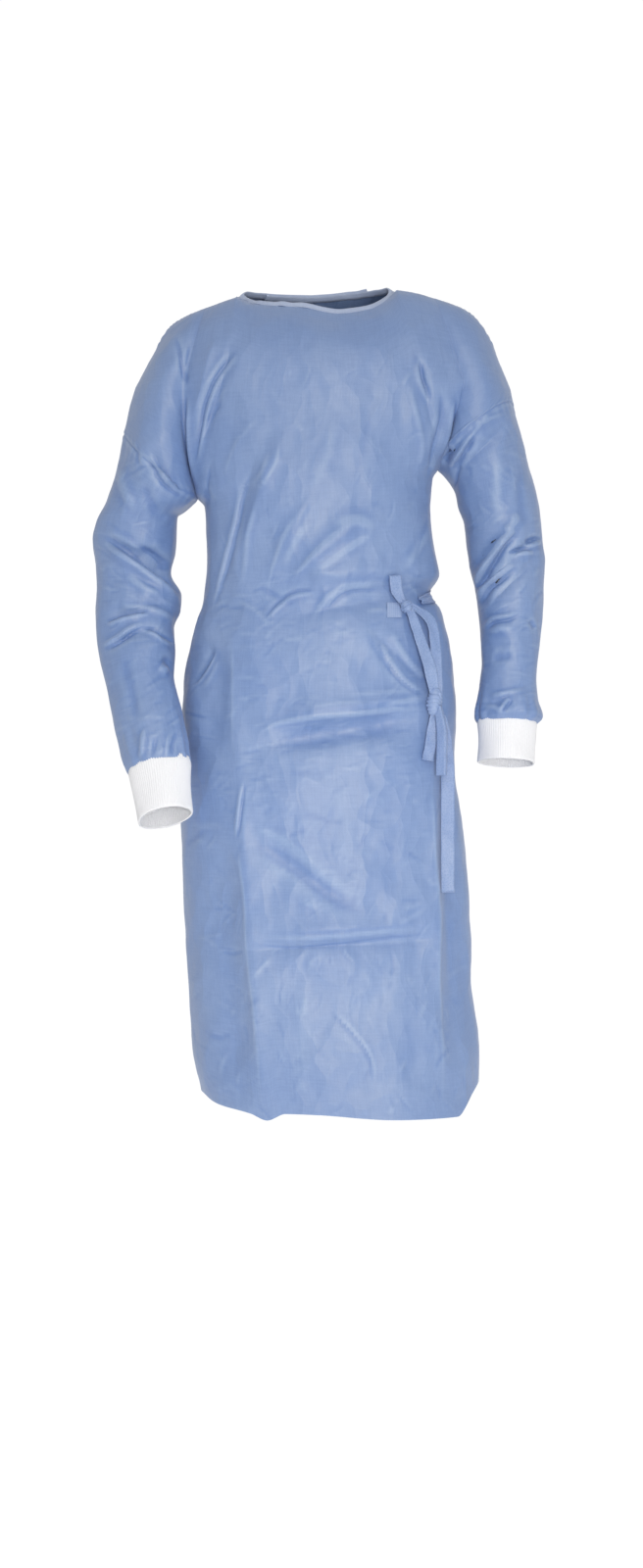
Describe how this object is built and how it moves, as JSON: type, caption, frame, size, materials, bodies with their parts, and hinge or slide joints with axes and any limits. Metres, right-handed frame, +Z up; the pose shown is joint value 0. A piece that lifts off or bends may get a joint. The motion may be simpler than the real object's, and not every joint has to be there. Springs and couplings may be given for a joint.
{
  "type": "surgical gown",
  "caption": "Wrap-back nonwoven surgical gown in its worn form, with knitted cuffs, a bound neck and a waist tie knotted at the side front.",
  "frame": {"origin": "midway between the two points where the neck meets the shoulder seams, where the wearer's shoulders carry the gown", "axes": "+Z up, -Y the wearer's front, +X the wearer's left"},
  "size_m": [0.6165, 0.3279, 1.1218],
  "materials": {
    "nonwoven": "matte embossed nonwoven with a faint sheen",
    "knit": "white ribbed knit",
    "binding": "pale folded nonwoven tape"
  },
  "bodies": {
    "root": {"front": "nonwoven", "back_over": "nonwoven", "back_under": "nonwoven", "sleeve_right": "nonwoven", "sleeve_left": "nonwoven", "belt_side": "nonwoven", "tie_patch": "nonwoven", "tie_tab": "nonwoven", "knot_upper": "nonwoven", "tie_fall_front": "nonwoven", "tie_fall_back": "nonwoven", "knot_lower": "nonwoven", "tie_tail_left": "nonwoven", "tie_loop": "nonwoven", "tie_tail_long": "nonwoven", "cuff_right": "knit", "cuff_left": "knit", "neck_binding": "binding"}
  },
  "joints": []
}
